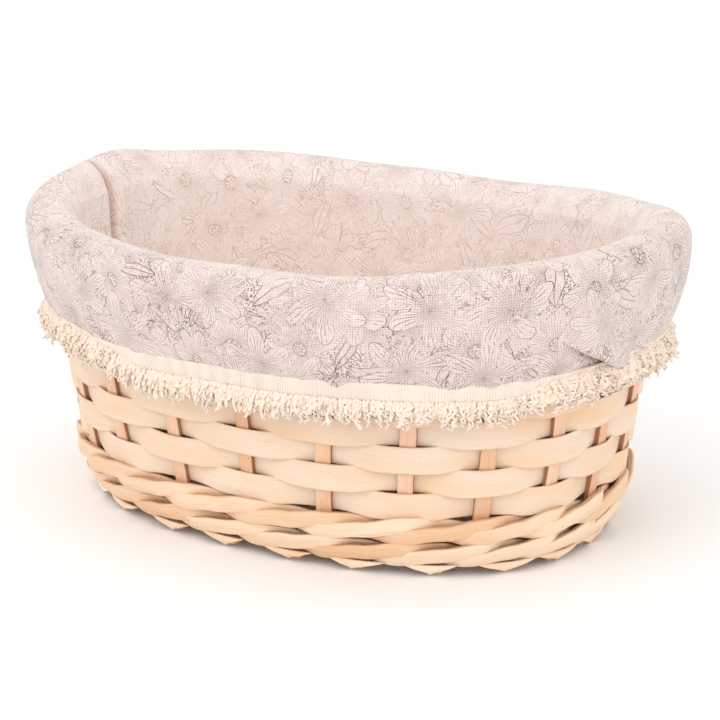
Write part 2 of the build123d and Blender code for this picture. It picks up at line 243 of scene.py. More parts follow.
# ---- shader tools -------------------------------------------------------------------------------
class Shader:
    """A node material with short helpers, which take sockets or plain values and give a socket."""

    def __init__(self, name, **settings):
        self.material = bpy.data.materials.new(name)
        self.material.use_nodes = True
        self.tree = self.material.node_tree
        self.tree.nodes.clear()
        self.bsdf = self.node("ShaderNodeBsdfPrincipled")
        output = self.node("ShaderNodeOutputMaterial")
        self.link(self.bsdf.outputs[0], output.inputs["Surface"])
        for key, value in settings.items():
            self.bsdf.inputs[key.replace("_", " ")].default_value = value

    def node(self, kind, **props):
        new = self.tree.nodes.new(kind)
        for key, value in props.items():
            setattr(new, key, value)
        return new

    def link(self, source, target):
        self.tree.links.new(source, target)

    def feed(self, target, value):
        if isinstance(value, bpy.types.NodeSocket):
            self.link(value, target)
        else:
            target.default_value = value

    def uv(self):
        return self.node("ShaderNodeUVMap", uv_map="UVMap").outputs[0]

    def attribute(self, name):
        return self.node("ShaderNodeAttribute", attribute_name=name).outputs["Fac"]

    def math(self, operation, a, b=0.0):
        new = self.node("ShaderNodeMath", operation=operation)
        self.feed(new.inputs[0], a)
        self.feed(new.inputs[1], b)
        return new.outputs[0]

    def plus(self, a, b):
        return self.math("ADD", a, b)

    def minus(self, a, b):
        return self.math("SUBTRACT", a, b)

    def times(self, a, b):
        return self.math("MULTIPLY", a, b)

    def larger(self, a, b):
        return self.math("MAXIMUM", a, b)

    def size(self, a):
        return self.math("ABSOLUTE", a)

    def sine(self, a):
        return self.math("SINE", a)

    def vector(self, operation, a, b):
        new = self.node("ShaderNodeVectorMath", operation=operation)
        self.feed(new.inputs[0], a)
        self.feed(new.inputs["Scale" if operation == "SCALE" else 1], b)
        return new.outputs["Vector"]

    def split(self, vector):
        new = self.node("ShaderNodeSeparateXYZ")
        self.feed(new.inputs[0], vector)
        return new.outputs

    def join(self, x, y=0.0, z=0.0):
        new = self.node("ShaderNodeCombineXYZ")
        for socket, value in zip(new.inputs, (x, y, z)):
            self.feed(socket, value)
        return new.outputs[0]

    def noise(self, vector, scale=1.0, detail=2.0, roughness=0.5, distortion=0.0, color=False):
        new = self.node("ShaderNodeTexNoise")
        self.feed(new.inputs["Vector"], vector)
        new.inputs["Scale"].default_value = scale
        new.inputs["Detail"].default_value = detail
        new.inputs["Roughness"].default_value = roughness
        new.inputs["Distortion"].default_value = distortion
        return new.outputs["Color" if color else "Fac"]

    def voronoi(self, vector, scale, randomness=1.0):
        new = self.node("ShaderNodeTexVoronoi", voronoi_dimensions="2D")
        self.feed(new.inputs["Vector"], vector)
        new.inputs["Scale"].default_value = scale
        new.inputs["Randomness"].default_value = randomness
        return new.outputs

    def range(self, value, low, high, to_low=0.0, to_high=1.0, smooth=True):
        new = self.node("ShaderNodeMapRange", interpolation_type="SMOOTHSTEP" if smooth else "LINEAR")
        for key, item in zip(("Value", "From Min", "From Max", "To Min", "To Max"),
                             (value, low, high, to_low, to_high)):
            self.feed(new.inputs[key], item)
        return new.outputs[0]

    def mix(self, factor, a, b):
        new = self.node("ShaderNodeMix", data_type="RGBA")
        self.feed(new.inputs[0], factor)
        for socket, color in ((new.inputs[6], a), (new.inputs[7], b)):
            self.feed(socket, color if isinstance(color, bpy.types.NodeSocket) else (*color, 1))
        return new.outputs[2]

    def bump(self, height, distance, strength):
        new = self.node("ShaderNodeBump")
        new.inputs["Strength"].default_value = strength
        new.inputs["Distance"].default_value = distance
        self.link(height, new.inputs["Height"])
        return new.outputs[0]

    def color(self, value):
        self.feed(self.bsdf.inputs["Base Color"], value)

    def roughness(self, value):
        self.feed(self.bsdf.inputs["Roughness"], value)

    def normal(self, value):
        self.link(value, self.bsdf.inputs["Normal"])


def tint(red, green, blue):
    """Linear colour from display values of 0 to 255."""
    def linear(value):
        share = value / 255
        return share / 12.92 if share <= 0.04045 else ((share + 0.055) / 1.055) ** 2.4
    return linear(red), linear(green), linear(blue)


# ---- camera, floor and lights -------------------------------------------------------------------
CAMERA_AZIMUTH = 31.5
CAMERA_ELEVATION = 16.5
CAMERA_DISTANCE = 1.070
CAMERA_TARGET = Vector((0.0055, 0.0, 0.065))
CAMERA_LENS = 120.0
FLOOR_HALF_SIZE = 6.0
FLOOR_DROP = 0.0002  # the floor lies this far under the basket's lowest point
SURROUND_STRENGTH = 1.05
KEY_LIGHT = dict(place_at=(-0.10, -0.95, 1.05), size=0.9, power=3.2, color=(1.0, 0.985, 0.96))
FILL_LIGHT = dict(place_at=(1.1, -0.5, 0.55), size=1.0, power=1.2, color=(1.0, 0.99, 0.98))


def make_camera():
    """The camera at the photograph's viewing angle."""
    data = bpy.data.cameras.new("camera")
    data.lens = CAMERA_LENS
    data.sensor_width = 36.0
    camera = bpy.data.objects.new("camera", data)
    bpy.context.scene.collection.objects.link(camera)
    azimuth = math.radians(CAMERA_AZIMUTH)
    elevation = math.radians(CAMERA_ELEVATION)
    back = Vector((
        math.sin(azimuth) * math.cos(elevation),
        -math.cos(azimuth) * math.cos(elevation),
        math.sin(elevation),
    ))
    camera.location = CAMERA_TARGET + back * CAMERA_DISTANCE
    camera.rotation_euler = back.to_track_quat("Z", "Y").to_euler()
    bpy.context.scene.camera = camera


def area_light(name, place_at, size, power, color):
    """A soft square light that faces the basket."""
    data = bpy.data.lights.new(name, "AREA")
    data.size = size
    data.energy = power
    data.color = color
    light = bpy.data.objects.new(name, data)
    light.location = place_at
    light.rotation_euler = (Vector(place_at) - CAMERA_TARGET).to_track_quat("Z", "Y").to_euler()
    bpy.context.scene.collection.objects.link(light)


def make_stage():
    """A pale floor, a bright even surround and two soft lights."""
    mesh = bpy.data.meshes.new("floor")
    corners = [(x * FLOOR_HALF_SIZE, y * FLOOR_HALF_SIZE, 0) for x, y in ((-1, -1), (1, -1), (1, 1), (-1, 1))]
    mesh.from_pydata(corners, [], [(0, 1, 2, 3)])
    shader = Shader("pale_floor", Roughness=0.9)
    spot = shader.node("ShaderNodeTexCoord").outputs["Object"]
    cloudy = shader.noise(spot, scale=3.0, detail=3)
    shader.color(shader.mix(cloudy, (0.965, 0.965, 0.965), (0.985, 0.985, 0.985)))
    mesh.materials.append(shader.material)
    floor = bpy.data.objects.new("floor", mesh)
    floor.location.z = -FLOOR_DROP
    bpy.context.scene.collection.objects.link(floor)
    world = bpy.data.worlds.new("studio")
    world.use_nodes = True
    background = world.node_tree.nodes["Background"]
    background.inputs["Color"].default_value = (1.0, 1.0, 1.0, 1)
    background.inputs["Strength"].default_value = SURROUND_STRENGTH
    bpy.context.scene.world = world
    area_light("key", **KEY_LIGHT)
    area_light("fill", **FILL_LIGHT)
    bpy.context.scene.view_settings.view_transform = "Standard"
    bpy.context.scene.view_settings.look = "None"


# ---- wood materials -----------------------------------------------------------------------------
def wood(name, pale, deep, streak, half_width, grain=1.0, streaks=0.35, rough=0.58, relief=0.05,
         dark_edge=0.0, golden=0.0):
    """Peeled wood with its grain along U. pale and deep are its two tones, streak its darker fibres.

    dark_edge is how much painted shade darkens the narrow sides to brown, golden how strong the yellow
    patches are.
    """
    s = Shader(name, Specular_IOR_Level=0.32)
    u, v = s.split(s.uv())[:2]
    tone = s.attribute("tone")
    shifted = s.plus(u, s.times(tone, 3.7))
    straight = s.plus(v, s.times(tone, 0.31))
    sway = s.times(s.noise(s.join(s.times(shifted, 30), tone), detail=1), 0.0016)
    bent = s.plus(straight, sway)

    def spot(along, across, line=bent, layer=0.0):
        """A place in a pattern that repeats about this often per metre along and across the grain."""
        return s.join(s.times(shifted, along), s.times(line, across), layer)

    broad = s.noise(spot(22, 90, straight), detail=3)
    fine = s.noise(spot(60, 2600), detail=4, roughness=0.6)
    fibre = s.noise(spot(26, 900), detail=3, roughness=0.65)
    body = s.mix(s.range(s.plus(s.times(broad, 0.6), s.times(tone, 0.4)), 0.25, 0.75), pale, deep)
    lighter = tuple(min(1.0, 1.12 * part + 0.02) for part in pale)
    patches = s.range(s.noise(spot(14, 60, straight, 4.0), detail=2), 0.48, 0.68)
    off_middle = s.size(v)
    chafe = s.noise(spot(45, 700), detail=3)
    worn = s.times(s.range(off_middle, half_width * 0.80, half_width), s.range(chafe, 0.35, 0.65))
    pores = s.voronoi(spot(90, 520), 1.0)
    flecks = s.times(s.range(pores["Distance"], 0.10, 0.03), s.range(s.split(pores["Color"])[0], 0.93, 0.96))
    # painted shade: the narrow side faces are darkened to brown, as strongly as dark_edge says
    side = s.range(off_middle, half_width * 0.975, half_width * 0.995)
    for mask, strength, color in (
        (s.range(fine, 0.5, 0.78), 0.42 * grain, streak),
        (s.range(fibre, 0.56, 0.74), streaks, streak),
        (s.range(fibre, 0.42, 0.28), 0.4, lighter),
        (patches, golden, tint(240, 196, 140)),
        (worn, 0.6, streak),
        (flecks, 0.35, tuple(0.45 * part for part in streak)),
        (side, dark_edge, tint(150, 96, 62)),
    ):
        body = s.mix(s.times(mask, strength), body, color)
    s.color(body)
    s.roughness(s.range(fine, 0.3, 0.7, rough - 0.06, rough + 0.12))
    height = s.minus(s.plus(s.times(fine, 0.6), s.times(fibre, 0.8)), s.times(flecks, 0.7))
    s.normal(s.bump(height, relief * 0.004, 0.55))
    return s.material


# ---- wicker pieces ------------------------------------------------------------------------------
STAKE_WIDTH = 0.0066
STAKE_THICKNESS = 0.0020
STAKE_FOOT = 0.0045
SPLINT_WIDTH = 0.0124
SPLINT_THICKNESS = 0.00080
SPLINT_SWING = 0.00175
SPLINT_TWIST = 0.00085
SPLINT_DIP = 0.0006
SPLINT_LAP_WIDTH = 0.0094
SPLINT_LAP_STEP = 0.0011
SPLINT_FIRST_LAP = 2  # the stake that the lowest row laps over
SPLINT_LAP_SHIFT = 3  # in stakes, how far each row laps past the one below
SPLINT_LAP_SPAN = 8  # the laps keep to this many stakes, on the basket's back
SPLINT_LAP_LENGTH = 1.0  # in stakes
SPLINT_LAP_EASE = 0.35  # in stakes, how quickly the strip narrows and steps out before its lap
FLAT_SECTION = (  # (across, face) of a flat strip; the close pairs keep its narrow bevels crisp
    (-1.0, -0.5), (-0.97, -1.0), (-0.92, -1.0), (0.0, -1.0), (0.92, -1.0), (0.97, -1.0), (1.0, -0.5),
    (1.0, 0.5), (0.97, 1.0), (0.92, 1.0), (0.35, 1.0), (-0.35, 1.0), (-0.92, 1.0), (-0.97, 1.0), (-1.0, 0.5),
)
ACROSS, FACE = np.array(FLAT_SECTION).T
UP = np.array([0, 0, 1.0])


def section_v(half_width):
    """UV values across a flat strip's section, which closes on its first corner."""
    return np.append(ACROSS, ACROSS[0]) * half_width


def level_side(outward):
    """Level directions square to the outward ones, anticlockwise round the basket."""
    return np.stack([-outward[..., 1], outward[..., 0], 0 * outward[..., 0]], axis=-1)


def flat_strip(middle, side, front, half_width, half_thickness):
    """Points of a flat strip's section round every point of its middle; half_width may change along it."""
    across = ACROSS[None, :, None] * np.reshape(half_width, (-1, 1, 1))
    through = (FACE * half_thickness)[None, :, None]
    return middle[:, None] + np.atleast_2d(side)[:, None] * across + np.atleast_2d(front)[:, None] * through


def wicker(node, slot, material, points, u, v, tone, **ends):
    """One piece from one grid of points, which stands for the CAD node; ends says how the grid ends."""
    builder = Builder()
    builder.grid(points, u, v, tone=tone, loop_across=True, **ends)
    place(builder.object(node + "_wood", material), "basket", slot, node)


def make_stakes(material):
    """Flat uprights with a slight twist and uneven width."""
    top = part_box("stake_01")[1].z - 0.5 * SADDLE
    z = np.linspace(STAKE_FOOT, top, 70)
    for number in range(STAKES):
        rng = np.random.default_rng(100 + number)
        drift = wobble(z * 60, 300 + number) * 0.0004
        half = STAKE_WIDTH / 2 * (1 + 0.05 * wobble(z * 90, 400 + number) + rng.uniform(-0.05, 0.05))
        twist = rng.uniform(-0.10, 0.10) + 0.06 * wobble(z * 40, 500 + number)
        middle = on_wall(number, z, 0.0)
        outward = on_wall(number, z, 1.0) - middle
        side = level_side(outward) * np.cos(twist)[:, None] + outward * np.sin(twist)[:, None]
        middle = middle + side * drift[:, None]
        points = flat_strip(middle, side, np.cross(side, UP), half, STAKE_THICKNESS / 2)
        wicker(f"stake_{number + 1:02d}", "peeled_stake", material, points, z, section_v(STAKE_WIDTH / 2),
               rng.uniform(), cap=True)


def make_splint_rows(material):
    """Chip splint woven in and out of the stakes, each strip's ends lapped outside one stake."""
    rows = sorted(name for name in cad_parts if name.startswith("splint_row_"))
    first = sum(corner.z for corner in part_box(rows[0])) / 2
    last = sum(corner.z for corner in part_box(rows[-1])) / 2
    for row, name in enumerate(rows):
        middle = first + (last - first) * row / (len(rows) - 1)
        lap_stake = SPLINT_FIRST_LAP + SPLINT_LAP_SHIFT * row % SPLINT_LAP_SPAN
        start = lap_stake - 0.5
        end = lap_stake + STAKES + 0.5
        count = np.linspace(start, end, (STAKES + 1) * 22 + 1)
        weave = np.cos(math.pi * (count + row))
        near = SPLINT_LAP_LENGTH + SPLINT_LAP_EASE
        late = ease((count - (end - near)) / SPLINT_LAP_EASE)
        early = ease((start + near - count) / SPLINT_LAP_EASE)
        half = (SPLINT_WIDTH + (SPLINT_LAP_WIDTH - SPLINT_WIDTH) * np.maximum(late, early)) / 2
        half = half * (1 + 0.025 * wobble(count * 3, 710 + row)) + 0.00006 * wobble(count * 40, 720 + row)
        level = middle - SPLINT_DIP * np.tanh(3 * weave) + 0.0005 * wobble(count * 0.8, 730 + row)
        twist = SPLINT_TWIST * (1 - weave**2)
        swing = SPLINT_SWING * (1 + 0.08 * wobble(count * 2, 740 + row))
        out = swing * weave + SPLINT_LAP_STEP * late
        z = level[:, None] + ACROSS * half[:, None]
        outs = out[:, None] - twist[:, None] * ACROSS + FACE * SPLINT_THICKNESS / 2
        cup = 0.00008 * (1 - ACROSS**2) * np.maximum(weave, 0)[:, None]
        points = on_wall(count[:, None], z, outs + cup)
        tone = 0.5 + 0.4 * np.tanh(wobble(count * 0.5, 750 + row)).mean()
        tone = tone + np.random.default_rng(700 + row).uniform(-0.1, 0.1)
        wicker(name, "chip_splint", material, points, length_at(count), section_v(SPLINT_WIDTH / 2),
               tone, cap=True)


WALE_HEIGHT = 0.0081
WALE_DEPTH = 0.0042
WALE_CAD_HEIGHT = 0.0044
WALE_SWING = 0.0033
WALE_OUTS = (-1.0, -0.35, 1.0, 1.0, 1.0, -0.35, -1.0)
WALE_LIFTS = (0.5, -0.1, 0.0, 0.5, 1.0, 1.1, 0.5)
WALE_SPAN = 3
WALE_TURN = 7  # in stakes, how much further round the upper course starts
WALE_RAISE = 0.0007  # the drawn rods lie this much higher than the CAD ones
ROD_SECTION = (  # (up, outward) of a split rod: nearly flat in front, with narrow rounded edges
    (-0.60, -0.80), (0.60, -0.80), (0.92, -0.35), (1.00, 0.10), (0.985, 0.45), (0.93, 0.72), (0.84, 0.84),
    (0.42, 0.96), (0.0, 1.0), (-0.42, 0.96), (-0.84, 0.84), (-0.93, 0.72), (-0.985, 0.45), (-1.00, 0.10),
    (-0.92, -0.35),
)


def make_wale_rods(material):
    """Split rods that pass outside two stakes, rising, and inside the third, dropping."""
    up, outward = np.array(ROD_SECTION).T
    for index in range(6):
        name = f"wale_rod_{index + 1}"
        course, rod = divmod(index, WALE_SPAN)
        low_corner, high_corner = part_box(name)
        reach = high_corner.z - low_corner.z
        step = (reach - WALE_CAD_HEIGHT) / 1.2
        low = low_corner.z + WALE_CAD_HEIGHT / 2 + 0.1 * step
        first = rod + WALE_TURN * course
        span = WALE_SPAN * (STAKES // WALE_SPAN)
        count = np.linspace(first, first + span, span * 18 + 1)
        beat = (count - first) % WALE_SPAN
        beat[-1] = WALE_SPAN - 1e-9
        outs = eased_steps(2 * beat, WALE_OUTS)
        showing = ease((outs + 0.6) / 1.6)
        height = WALE_HEIGHT / 2 * (0.58 + 0.42 * showing) * (1 + 0.09 * wobble(count * 2.2, 810 + index))
        depth = WALE_DEPTH / 2 * (0.80 + 0.20 * showing) * (1 + 0.07 * wobble(count * 1.7, 820 + index))
        level = low + WALE_RAISE + step * eased_steps(2 * beat, WALE_LIFTS)
        level = level + 0.00035 * wobble(count * 2.5, 830 + index)
        twist = 0.30 * wobble(count * 0.9, 840 + index)
        a = up * height[:, None]
        b = outward * depth[:, None]
        z = level[:, None] + a * np.cos(twist)[:, None] - b * np.sin(twist)[:, None]
        out = (WALE_SWING * outs + 0.0002 * wobble(count * 3, 850 + index))[:, None]
        out = out + a * np.sin(twist)[:, None] + b * np.cos(twist)[:, None]
        points = on_wall(count[:, None], z, out)
        v = np.append(up, up[0]) * WALE_HEIGHT / 2
        stroke = np.floor((count - first) / WALE_SPAN)
        tones = np.random.default_rng(860 + index).uniform(0, 1, int(stroke.max()) + 1)
        tone = tones[stroke.astype(int)][:, None]
        wicker(name, "split_willow", material, points, length_at(count), v, tone, cap=True)


FOLD_THICKNESS = 0.0011
FOLD_OUT = 0.0044  # from the wall's middle to the flap's inner face
FOLD_RAISE = 0.0012  # the drawn flaps reach this much higher than the CAD ones, in under the rods
TAIL_LEVEL = 0.00062
TAIL_THICKNESS = 0.0011
TAIL_LENGTH = 0.019


def make_foot_folds(material):
    """Folded stake ends: a pointed flap under the lowest rod, and a flat tail under the base."""
    builder = Builder()
    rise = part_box("foot_folds")[1].z + FOLD_RAISE
    s = np.linspace(-1, 1, 15)
    t = np.linspace(0, 1, 7)
    run = np.linspace(0.0018, -0.0150, 9)
    for number in range(STAKES):
        rng = np.random.default_rng(900 + number)
        middle = number + 0.5 + rng.uniform(-0.07, 0.07)
        pitch = length_at(middle + 0.5) - length_at(middle - 0.5)
        half_top = rng.uniform(0.0125, 0.0155)
        lean = rng.uniform(-0.003, 0.003)
        foot = rng.uniform(0.0, 0.0006)
        tone = rng.uniform()
        half = half_top + (0.0006 - half_top) * t
        offset = s * half[:, None] + (lean * t**1.5)[:, None]
        z = rise + (foot - rise) * t[:, None] + 0.0007 * s**2 * t[:, None]
        belly = FOLD_OUT + (0.0009 * np.sin(math.pi * t) + 0.0020 * t)[:, None] - 0.0006 * np.abs(s)
        counts = middle + offset / pitch
        outer = on_wall(counts, z, belly + FOLD_THICKNESS)
        inner = on_wall(counts, z, belly)
        u = (t * rise * 1.5)[:, None] + there_and_back(np.abs(s)) * half_top * 1.2 + number * 0.05
        v = there_and_back(s) * half_top * 0.5
        builder.grid(np.concatenate([outer, inner[:, ::-1]], axis=1), u, v, tone=tone,
                     loop_across=True, cap=True)
        line = on_wall(middle + lean / pitch, np.full(9, 0.004), run)
        outward = line[0] - line[-1]
        outward[2] = 0
        outward /= np.linalg.norm(outward)
        line[:, 2] = TAIL_LEVEL + 0.0006 * np.clip((run + 0.0005) / 0.0045, 0, 1) ** 2
        tail = flat_strip(line, level_side(outward), UP, STAKE_WIDTH / 2, TAIL_THICKNESS / 2)
        builder.grid(tail, np.linspace(0, TAIL_LENGTH, 9), section_v(STAKE_WIDTH / 2), tone=tone,
                     loop_across=True, cap=True)
    place(builder.object("foot_folds_wood", material), "basket", "peeled_stake", "foot_folds")


BASE_CHIP_WIDTH = 0.0100
BASE_CHIP_PITCH = 0.0140
BASE_CHIP_THICKNESS = 0.0009
BASE_CHIP_SWING = 0.00066
BASE_HALF_LENGTH = 0.1089
BASE_HALF_WIDTH = 0.0709


def make_base_chips(material, across, node):
    """The flat chips of the base that run one way, in plain weave."""
    here, there = (BASE_HALF_LENGTH, BASE_HALF_WIDTH) if across else (BASE_HALF_WIDTH, BASE_HALF_LENGTH)
    low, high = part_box(node)
    level = (low.z + high.z) / 2
    reach = int((here - BASE_CHIP_WIDTH) // BASE_CHIP_PITCH)
    builder = Builder()
    for order in range(-reach, reach + 1):
        rng = np.random.default_rng(1000 + order + 50 * across)
        middle = order * BASE_CHIP_PITCH
        edge = (abs(middle) + BASE_CHIP_WIDTH / 2) / here
        half_run = there * max(0.0, 1 - edge**OVAL_POWER) ** (1 / OVAL_POWER)
        run = np.linspace(-half_run, half_run, 120)
        weave = np.tanh(3 * np.cos(math.pi * (run / BASE_CHIP_PITCH + order + across)))
        z = level + BASE_CHIP_SWING * weave
        half = BASE_CHIP_WIDTH / 2 * (1 + 0.03 * wobble(run * 60, 1100 + order))
        side = middle + ACROSS * half[:, None]
        heights = z[:, None] + FACE * BASE_CHIP_THICKNESS / 2
        runs = np.repeat(run[:, None], len(ACROSS), axis=1)
        parts = [side, runs, heights] if across else [runs, side, heights]
        builder.grid(np.stack(parts, axis=-1), run, section_v(BASE_CHIP_WIDTH / 2), tone=rng.uniform(),
                     loop_across=True, cap=True)
    place(builder.object(node + "_wood", material), "basket", "base_chip", node)


HOOP_HEIGHT = 0.0120
HOOP_DEPTH = 0.0056
HOOP_NEAR = 0.00125  # from the wall's middle to a hoop's flat face
FILLER_RADIUS = 0.00095
FILLER_DROP = 0.0002
LASHING_WIDTH = 0.0040
LASHING_THICKNESS = 0.0008
LASHING_HALF_DEPTH = 0.0079
LASHING_HALF_HEIGHT = 0.0080


def make_rim(hoop_material, lashing_material):
    """Two half-round hoops, the filler rod between them and the strand that binds them."""
    count = np.linspace(0, STAKES, 360, endpoint=False)
    turn = count / STAKES * 2 * math.pi
    u = length_at(np.append(count, STAKES))
    arc = np.linspace(-math.pi / 2, math.pi / 2, 12)
    v = np.append(arc, arc[0]) / math.pi * 0.016
    for side, node in ((1, "rim_hoop_outer"), (-1, "rim_hoop_inner")):
        uneven = (1 + 0.03 * ring_wobble(turn, 1200 + side, range(5, 16, 3)))[:, None]
        z = RIM_HEIGHT + HOOP_HEIGHT / 2 * np.sin(arc) * uneven
        out = side * (HOOP_NEAR + HOOP_DEPTH * np.cos(arc) ** 0.75 * uneven)
        wicker(node, "split_willow", hoop_material, on_wall(count[:, None], z, out), u, v, 0.35 + 0.2 * side,
               loop_along=True)
    bend = circle(8)
    z = RIM_HEIGHT + HOOP_HEIGHT / 2 - FILLER_DROP + FILLER_RADIUS * np.sin(bend)
    points = on_wall(count[:, None], z[None, :], FILLER_RADIUS * np.cos(bend))
    wicker("rim_filler", "split_willow", hoop_material, points, u, np.append(bend, 0) * 0.001, 0.6,
           loop_along=True)
    turns = STAKES * 2 - 1
    step = np.linspace(0, turns, turns * 24 + 1)
    count = (step + 0.5) / 2
    middle = on_wall(count, RIM_HEIGHT, 0.0)
    outward = on_wall(count, RIM_HEIGHT, 1.0) - middle
    out = outward * np.sin(2 * math.pi * step)[:, None]
    rise = UP * np.cos(2 * math.pi * step)[:, None]
    line = middle - out * LASHING_HALF_DEPTH - rise * LASHING_HALF_HEIGHT
    half = LASHING_WIDTH / 2 * (1 + 0.06 * wobble(step * 2, 1300))
    points = flat_strip(line, level_side(outward), -out - rise, half, LASHING_THICKNESS / 2)
    tone = 0.5 + 0.4 * wobble(step * 0.6, 1301)[:, None]
    wicker("rim_lashing", "lashing_strand", lashing_material, points, step * 0.05,
           section_v(LASHING_WIDTH / 2), tone, cap=True)


# ---- liner cloth --------------------------------------------------------------------------------
CLOTH_THICKNESS = 0.0007
CLOTH_COLUMNS = 640
ROLL_RADIUS = 0.0110
LINER_FLOOR = 0.0046
FLOOR_EDGE_RISE = 0.0034  # from there to the wall's lowest row, WALL_LOW
WALL_LOW = 0.008
LINER_INSET = 0.0065
HEM_HEIGHT = 0.0880
HEM_OFFSET = 0.0066
SKIRT_WAIST = 0.0006
HEM_RETURN = 0.0090
LEFT_CREASE = math.pi + 0.05
END_PULL = 0.0026  # the hem hugs the wall by this much more at the left end
FLOOR_PRINT_SHIFT = (2.0, -0.3)  # keeps the floor's part of the print clear of the walls' part
TUCK_START = -0.41
TUCK_END = -0.165


def cloth_profile():
    """The liner's section from the floor's edge over the rim to the hem's inside, as even steps.

    Each step is (height, distance out from the wall's middle, share down the skirt).
    """
    wall = [
        (z, -LINER_INSET - (ROLL_RADIUS - LINER_INSET) * z / RIM_HEIGHT)
        for z in np.linspace(WALL_LOW, RIM_HEIGHT, 30)
    ]
    roll = [
        (RIM_HEIGHT + ROLL_RADIUS * math.sin(turn), ROLL_RADIUS * math.cos(turn))
        for turn in np.linspace(math.pi, 0, 24)[1:]
    ]
    skirt = []
    for share in np.linspace(0, 1, 58)[1:]:
        z = RIM_HEIGHT + (HEM_HEIGHT - RIM_HEIGHT) * share
        straight = ROLL_RADIUS + (HEM_OFFSET - ROLL_RADIUS) * share
        belly = 4 * (0.5 * (ROLL_RADIUS + HEM_OFFSET) - ROLL_RADIUS + SKIRT_WAIST) * share * (1 - share)
        skirt.append((z, straight - belly))
    back = [
        (HEM_HEIGHT - 0.0008 * math.sin(turn), HEM_OFFSET - 0.0009 + 0.0009 * math.cos(turn))
        for turn in np.linspace(0, math.pi, 6)[1:]
    ]
    back += [(HEM_HEIGHT + rise, HEM_OFFSET - 0.0018) for rise in np.linspace(0, HEM_RETURN, 7)[1:]]
    line = np.array(wall + roll + skirt + back)
    zone = np.concatenate([
        np.zeros(len(wall)),
        np.linspace(0, 1, len(roll)),
        np.linspace(1, 2, len(skirt)),
        np.linspace(2, 3, len(back)),
    ])
    return line, zone


def crease(turn, middle, width):
    """A soft bump of height 1 around one place on the ring."""
    return np.exp(-((turn_gap(turn, middle) / width) ** 2))


def end_pull(turn):
    """How much nearer the wall the hem lies round the left end."""
    return END_PULL * crease(turn, math.pi + 0.15, 0.55)


def cloth_shape():
    """Heights and offsets of the wall, roll and skirt for every column, with their folds."""
    line, zone = cloth_profile()
    turn = np.linspace(LEFT_CREASE, LEFT_CREASE + 2 * math.pi, CLOTH_COLUMNS, endpoint=False)
    turn = turn - 0.30 * np.sin(2 * (turn - LEFT_CREASE))
    t = turn[:, None]
    s = zone[None, :]
    z = np.repeat(line[None, :, 0], CLOTH_COLUMNS, axis=0)
    out = np.repeat(line[None, :, 1], CLOTH_COLUMNS, axis=0)
    on_side = (s <= 0).astype(float)
    height_share = np.clip(z / RIM_HEIGHT, 0, 1)
    skirt_share = np.clip(s - 1, 0, 1)
    roll_share = np.sin(math.pi * np.clip(s, 0, 1))

    slack = ring_wobble(t + 0.5 * height_share, 21, (3, 5, 7, 11)) * 0.0016 * np.sin(math.pi * height_share)
    low_slack = ring_wobble(t - 0.25 * height_share, 22, (13, 17, 23, 29)) * 0.0007
    slack = slack + low_slack * (1 - height_share) ** 0.6
    out = out + np.maximum(slack, -0.0040) * on_side - 0.0006 * on_side

    soft = ring_wobble(t + 0.10 * s, 23, (4, 6, 9, 14)) * 0.0009
    out = out + soft * (np.sin(math.pi * np.clip(s / 2.3, 0, 1)) + 0.25 * roll_share) * (s > 0)
    z = z + ring_wobble(t, 24, (2, 3, 5, 8)) * 0.0009 * roll_share

    pull = skirt_share**1.7
    gathers = ring_wobble(t + 0.03 * skirt_share, 25, (31, 37, 43, 53, 61)) * 0.0005
    gathers = gathers + ring_wobble(t - 0.06 * skirt_share, 26, (17, 21, 26)) * 0.0005
    gathers = gathers + 0.0012 * crease(t, -0.06, 0.14) * np.sin(58 * t + 3 * skirt_share)
    out = out + np.maximum(gathers, -0.0010) * pull * (s <= 2.05) + 0.0006 * pull
    z = z + ring_wobble(t, 27, (5, 8, 12)) * 0.0007 * skirt_share
    belly = np.sin(math.pi * np.clip(s / 2, 0, 1)) * (s > 0)
    out = out + (0.0026 * crease(t, 0.05, 0.35) - 0.0014 * crease(t, math.pi, 0.5)) * belly
    out = out - end_pull(t) * pull
    z = z + (0.0032 * crease(t, 3.02, 0.16) + 0.0022 * crease(t, 0.30, 0.25)) * roll_share

    depth = height_share**0.4 * on_side + np.clip(1 - 2.2 * s, 0, 1) * (s > 0)
    groove = crease(t, LEFT_CREASE, 0.012)
    shoulders = crease(t, LEFT_CREASE - 0.045, 0.030) + 0.6 * crease(t, LEFT_CREASE + 0.045, 0.03)
    out = out + (0.0052 * groove - 0.0030 * shoulders) * depth
    return turn, z, out, zone


def tuck(turn, share):
    """Outward and downward moves of a diagonal tuck at the front right, where slack cloth is folded under.

    The flap above it stands out and hangs a little over, then the cloth drops steeply below the flap's edge.
    """
    along = (turn_gap(turn, 0.0) - TUCK_START) / (TUCK_END - TUCK_START)
    line = 0.42 + 0.55 * along
    strength = ease(along / 0.45) * ease((1.55 - along) / 0.45)
    past = share - line
    flap = np.exp(-((np.minimum(past, 0) / 0.20) ** 2)) * (past <= 0)
    dip = np.exp(-np.maximum(past, 0) / 0.13) * (past > 0)
    step = ease(past / 0.05)
    lap = flap + (1 - step) * (past > 0)
    return strength * (0.0032 * lap - 0.0046 * dip * step), strength * 0.0024 * lap


